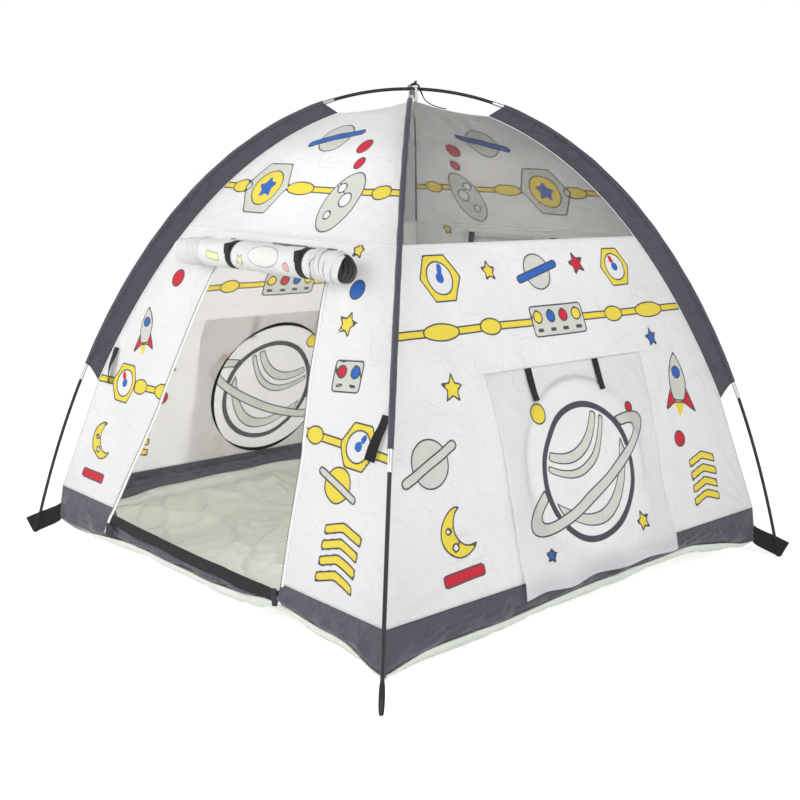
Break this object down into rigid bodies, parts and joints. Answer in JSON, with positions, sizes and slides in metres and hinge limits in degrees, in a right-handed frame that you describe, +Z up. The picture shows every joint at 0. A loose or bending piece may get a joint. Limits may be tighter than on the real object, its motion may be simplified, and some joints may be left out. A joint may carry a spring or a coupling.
{
  "type": "kids play tent",
  "caption": "Square dome play tent of printed cloth and net on crossed bent poles, with a rolled front door, a back door and round side ports under hanging flaps.",
  "frame": {"origin": "on the ground under the crossing of the poles", "axes": "+Z up; -Y out of the front doorway; +X out of the right port"},
  "size_m": [1.3422, 1.3422, 1.127],
  "materials": {
    "white_cloth": "plain-woven white polyester, printed",
    "grey_cloth": "plain-woven dark grey polyester",
    "window_net": "fine dark grey net",
    "groundsheet": "creased pale grey-green coated sheet",
    "black_webbing": "black woven webbing",
    "white_ribbon": "white woven ribbon",
    "fibreglass": "black fibreglass tube with bonded steel ferrules",
    "black_plastic": "moulded black plastic",
    "elastic_cord": "braided white elastic cord"
  },
  "bodies": {
    "tent": {"upper_pole_section_1": "fibreglass", "upper_pole_section_2": "fibreglass", "upper_pole_section_3": "fibreglass", "upper_pole_section_4": "fibreglass", "upper_pole_section_5": "fibreglass", "upper_pole_section_6": "fibreglass", "upper_pole_section_7": "fibreglass", "lower_pole_section_1": "fibreglass", "lower_pole_section_2": "fibreglass", "lower_pole_section_3": "fibreglass", "lower_pole_section_4": "fibreglass", "lower_pole_section_5": "fibreglass", "lower_pole_section_6": "fibreglass", "lower_pole_section_7": "fibreglass", "upper_pole_elastic_cord": "elastic_cord", "lower_pole_elastic_cord": "elastic_cord", "front_right_pole_tip": "black_plastic", "back_right_pole_tip": "black_plastic", "back_left_pole_tip": "black_plastic", "front_left_pole_tip": "black_plastic", "front_right_sleeve": "grey_cloth", "back_right_sleeve": "grey_cloth", "back_left_sleeve": "grey_cloth", "front_left_sleeve": "grey_cloth", "front_right_anchor": "black_webbing", "back_right_anchor": "black_webbing", "back_left_anchor": "black_webbing", "front_left_anchor": "black_webbing", "front_upper_wall": "white_cloth", "back_upper_wall": "white_cloth", "left_window_net": "window_net", "right_window_net": "window_net", "front_lower_wall": "white_cloth", "back_lower_wall": "white_cloth", "left_lower_wall": "white_cloth", "right_lower_wall": "white_cloth", "front_skirt": "grey_cloth", "back_skirt": "grey_cloth", "left_skirt": "grey_cloth", "right_skirt": "grey_cloth", "groundsheet": "groundsheet", "crown_ribbon": "white_ribbon", "crown_knot": "black_webbing", "crown_tie_tail": "black_webbing"},
    "front_door": {"rolled_front_door": "white_cloth", "roll_tie_left": "black_webbing", "roll_tie_right": "black_webbing"},
    "back_door": {"back_door": "white_cloth"},
    "back_door_tie_left": {"back_door_tie_left": "black_webbing"},
    "back_door_tie_right": {"back_door_tie_right": "black_webbing"},
    "right_flap": {"right_port_flap": "white_cloth"},
    "right_flap_tie_near": {"right_flap_tie_near": "black_webbing"},
    "right_flap_tie_far": {"right_flap_tie_far": "black_webbing"},
    "left_flap": {"left_port_flap": "white_cloth"},
    "left_flap_tie_near": {"left_flap_tie_near": "black_webbing"},
    "left_flap_tie_far": {"left_flap_tie_far": "black_webbing"},
    "front_left_strap": {"front_left_strap": "black_webbing"},
    "front_right_strap": {"front_right_strap": "black_webbing"},
    "back_left_strap": {"back_left_strap": "black_webbing"},
    "back_right_strap": {"back_right_strap": "black_webbing"}
  },
  "joints": [
    {"name": "front_door_seam", "type": "hinge", "parent": "tent", "child": "front_door", "pos_m": [0, -0.38641, 0.75714], "axis": [-1, 0, 0], "range_deg": [0, 75]},
    {"name": "back_door_seam", "type": "hinge", "parent": "tent", "child": "back_door", "pos_m": [0, 0.38667, 0.75728], "axis": [1, 0, 0], "range_deg": [0, 100]},
    {"name": "back_door_tie_left_seam", "type": "hinge", "parent": "tent", "child": "back_door_tie_left", "pos_m": [0.123, 0.38482, 0.75629], "axis": [1, 0, 0], "range_deg": [-70, 15]},
    {"name": "back_door_tie_right_seam", "type": "hinge", "parent": "tent", "child": "back_door_tie_right", "pos_m": [-0.167, 0.38482, 0.75629], "axis": [1, 0, 0], "range_deg": [-70, 15]},
    {"name": "right_flap_seam", "type": "hinge", "parent": "tent", "child": "right_flap", "pos_m": [0.49095, 0, 0.52534], "axis": [0, -1, 0], "range_deg": [0, 90]},
    {"name": "right_flap_tie_near_seam", "type": "hinge", "parent": "right_flap", "child": "right_flap_tie_near", "pos_m": [0.49236, -0.125, 0.52586], "axis": [0, -1, 0], "range_deg": [0, 45]},
    {"name": "right_flap_tie_far_seam", "type": "hinge", "parent": "right_flap", "child": "right_flap_tie_far", "pos_m": [0.49236, 0.093, 0.52586], "axis": [0, -1, 0], "range_deg": [0, 45]},
    {"name": "left_flap_seam", "type": "hinge", "parent": "tent", "child": "left_flap", "pos_m": [-0.49095, 0, 0.52534], "axis": [0, 1, 0], "range_deg": [0, 90]},
    {"name": "left_flap_tie_near_seam", "type": "hinge", "parent": "left_flap", "child": "left_flap_tie_near", "pos_m": [-0.49236, 0.125, 0.52586], "axis": [0, 1, 0], "range_deg": [0, 45]},
    {"name": "left_flap_tie_far_seam", "type": "hinge", "parent": "left_flap", "child": "left_flap_tie_far", "pos_m": [-0.49236, -0.093, 0.52586], "axis": [0, 1, 0], "range_deg": [0, 45]},
    {"name": "front_left_strap_seam", "type": "hinge", "parent": "tent", "child": "front_left_strap", "pos_m": [-0.49163, -0.50841, 0.4751], "axis": [-1, 0, 0], "range_deg": [0, 60]},
    {"name": "front_right_strap_seam", "type": "hinge", "parent": "tent", "child": "front_right_strap", "pos_m": [0.49163, -0.50841, 0.4751], "axis": [-1, 0, 0], "range_deg": [0, 60]},
    {"name": "back_left_strap_seam", "type": "hinge", "parent": "tent", "child": "back_left_strap", "pos_m": [-0.49163, 0.50841, 0.4751], "axis": [1, 0, 0], "range_deg": [0, 60]},
    {"name": "back_right_strap_seam", "type": "hinge", "parent": "tent", "child": "back_right_strap", "pos_m": [0.49163, 0.50841, 0.4751], "axis": [1, 0, 0], "range_deg": [0, 60]}
  ]
}
